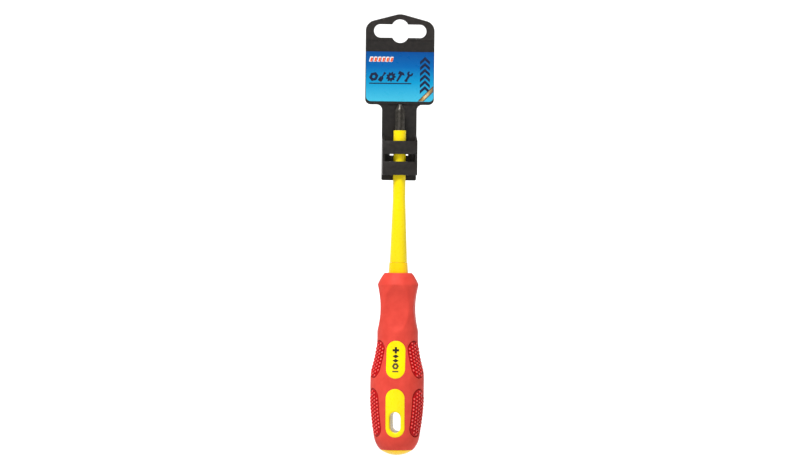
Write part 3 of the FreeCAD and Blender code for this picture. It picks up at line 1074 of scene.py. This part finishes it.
def paler_below_ink_material():
    """Black ink on the windows, paler towards its lower end."""
    top, bottom = field_spans()["upper"]
    m = Shader("ink_paler_below", 0.4)
    # darker at the top of the windows, paler towards the bottom
    paling = m.ramp(m.along("Z", top, bottom), [
        (0.15, (0.008, 0.006, 0.004)), (0.55, (0.02, 0.015, 0.006)), (0.85, (0.16, 0.12, 0.02)),
    ])
    speckle = m.ramp(m.noise(0.6, 3), [(0.35, 0.7), (0.65, 1.0)])
    m.to("Base Color", m.multiplied(paling, speckle))
    m.set("Specular IOR Level", 0.3)
    return m.material


def gold_ink_material():
    """Metallic-looking ribbon print: light in its middle, brown at its ends."""
    m = Shader("ink_gold", 0.35)
    spread = m.ramp(m.along("X", 11.4, 20.2), [
        (0.0, (0.11, 0.055, 0.025)), (0.3, (0.62, 0.36, 0.1)), (0.5, (0.87, 0.66, 0.36)),
        (0.72, (0.5, 0.3, 0.11)), (1.0, (0.14, 0.08, 0.05)),
    ])
    speckle = m.ramp(m.noise(0.7, 3), [(0.35, 0.5), (0.65, 1.0)])
    m.to("Base Color", m.multiplied(spread, speckle))
    return m.material


def finish_node(name, material, bevel=0.0):
    """A CAD node that stays: its material, and softened edges where bevel says how wide, in mm."""
    node = frame["nodes"][name]
    for material_slot in node.material_slots:
        material_slot.material = material
    if bevel:
        joined = node.modifiers.new("joined", "WELD")
        joined.merge_threshold = 1e-6
        flat = node.modifiers.new("flat_faces", "DECIMATE")
        flat.decimate_type = "DISSOLVE"
        flat.angle_limit = math.radians(1)
        soft = node.modifiers.new("soft_edges", "BEVEL")
        soft.width = bevel * MM
        soft.segments = 2
        soft.limit_method = "ANGLE"
        soft.angle_limit = math.radians(35)


# Stage

def make_floor():
    """A wide pale floor well below the hanging object, curving up far away on every side."""
    z = heights("end_cap")[1] - FLOOR_DROP
    turns = np.linspace(0, math.pi / 2, 24)
    outline = [(0.0, z), (FLOOR_FLAT_R, z)]
    outline += [
        (FLOOR_FLAT_R + FLOOR_CURVE_R * math.sin(t), z + FLOOR_RIM_H * (1 - math.cos(t)))
        for t in turns[1:]
    ]
    verts, faces = turned(outline, 96)
    mesh = bpy.data.meshes.new("floor")
    mesh.from_pydata(verts.tolist(), [], faces)
    weld(mesh)
    mesh.transform(Matrix.Scale(MM, 4))
    mesh.shade_smooth()
    m = Shader("pale_floor", 0.9)
    m.to("Base Color", m.ramp(m.noise(900.0, 2), [(0.3, (0.8, 0.8, 0.8)), (0.7, (0.83, 0.83, 0.83))]))
    mesh.materials.append(m.material)
    floor = bpy.data.objects.new("floor", mesh)
    bpy.context.scene.collection.objects.link(floor)


def make_lights():
    """A dim white world, and one broad soft key from high in front, a little to the left."""
    world = bpy.data.worlds.new("white")
    world.use_nodes = True
    world.node_tree.nodes["Background"].inputs["Color"].default_value = (1, 1, 1, 1)
    world.node_tree.nodes["Background"].inputs["Strength"].default_value = WORLD_STRENGTH
    bpy.context.scene.world = world
    azimuth, elevation = math.radians(KEY_AZIMUTH), math.radians(KEY_ELEVATION)
    towards = Vector((math.sin(azimuth) * math.cos(elevation),
                      -math.cos(azimuth) * math.cos(elevation), math.sin(elevation)))
    data = bpy.data.lights.new("key", "SUN")
    data.angle = math.radians(KEY_SPREAD)
    data.energy = KEY_STRENGTH
    light = bpy.data.objects.new("key", data)
    light.rotation_mode = "QUATERNION"
    light.rotation_quaternion = towards.to_track_quat("Z", "Y")
    bpy.context.scene.collection.objects.link(light)


def make_camera():
    """A long lens level with the object's middle, a little to its left, and rolled by a fraction."""
    azimuth = math.radians(CAMERA_AZIMUTH)
    back = Vector((math.sin(azimuth), -math.cos(azimuth), 0))
    right = Vector((math.cos(azimuth), math.sin(azimuth), 0))
    axis = Vector(mount("ph2_tip")["pos_m"])
    aim = Vector((axis.x, axis.y, AIM_Z)) + right * AIM_RIGHT
    roll = Matrix.Rotation(math.radians(CAMERA_ROLL), 3, "Z").to_quaternion()
    data = bpy.data.cameras.new("camera")
    data.lens = CAMERA_LENS
    data.sensor_width = 36.0
    camera = bpy.data.objects.new("camera", data)
    camera.location = aim + back * CAMERA_DISTANCE
    camera.rotation_mode = "QUATERNION"
    camera.rotation_quaternion = (-back).to_track_quat("-Z", "Y") @ roll
    bpy.context.scene.collection.objects.link(camera)
    bpy.context.scene.camera = camera


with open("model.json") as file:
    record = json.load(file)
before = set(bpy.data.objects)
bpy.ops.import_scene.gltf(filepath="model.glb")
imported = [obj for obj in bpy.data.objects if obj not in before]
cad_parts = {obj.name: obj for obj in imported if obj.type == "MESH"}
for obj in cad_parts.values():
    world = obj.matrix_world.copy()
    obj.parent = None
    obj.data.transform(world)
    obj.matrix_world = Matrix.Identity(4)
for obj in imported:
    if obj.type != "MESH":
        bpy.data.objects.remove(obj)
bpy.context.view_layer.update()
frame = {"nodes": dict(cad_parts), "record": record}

DRIVER = driver_place()
OUTLINE = handle_outline()
FACET_Z = heights("soft_grip")[0] - (CREST_DROP + WAIST_DROP) / 2
FACET_R = radius_at(driver_tree("soft_grip"), FACET_Z, 0)

yellow = nylon_material("insulation_nylon", (0.80, 0.60, 0.0), (0.90, 0.72, 0.001))
gold = nylon_material("insulation_nylon_gold", (0.83, 0.5, 0.001), (0.92, 0.6, 0.003))
make_grip()
make_pads(pad_material())
make_core(yellow, gold)
make_sleeve(yellow)
make_end_cap(gold)
make_window_print(paler_below_ink_material())
make_label_print([
    ink_material("ink_white", (0.85, 0.83, 0.8), (0.75, 0.72, 0.68)),
    ink_material("ink_orange", (0.8, 0.15, 0.03), (0.7, 0.05, 0.03)),
    ink_material("ink_navy", (0.003, 0.012, 0.05), (0.002, 0.008, 0.035)),
    ink_material("ink_brown", (0.1, 0.05, 0.03), (0.05, 0.03, 0.02)),
    gold_ink_material(),
])
finish_node("hanger", black_material(), 0.18)
finish_node("header_label", label_material())
finish_node("blade", steel_material(), 0.12)
finish_node("tang_core", core_material())

make_floor()
make_lights()
make_camera()
bpy.context.scene.view_settings.view_transform = "Standard"
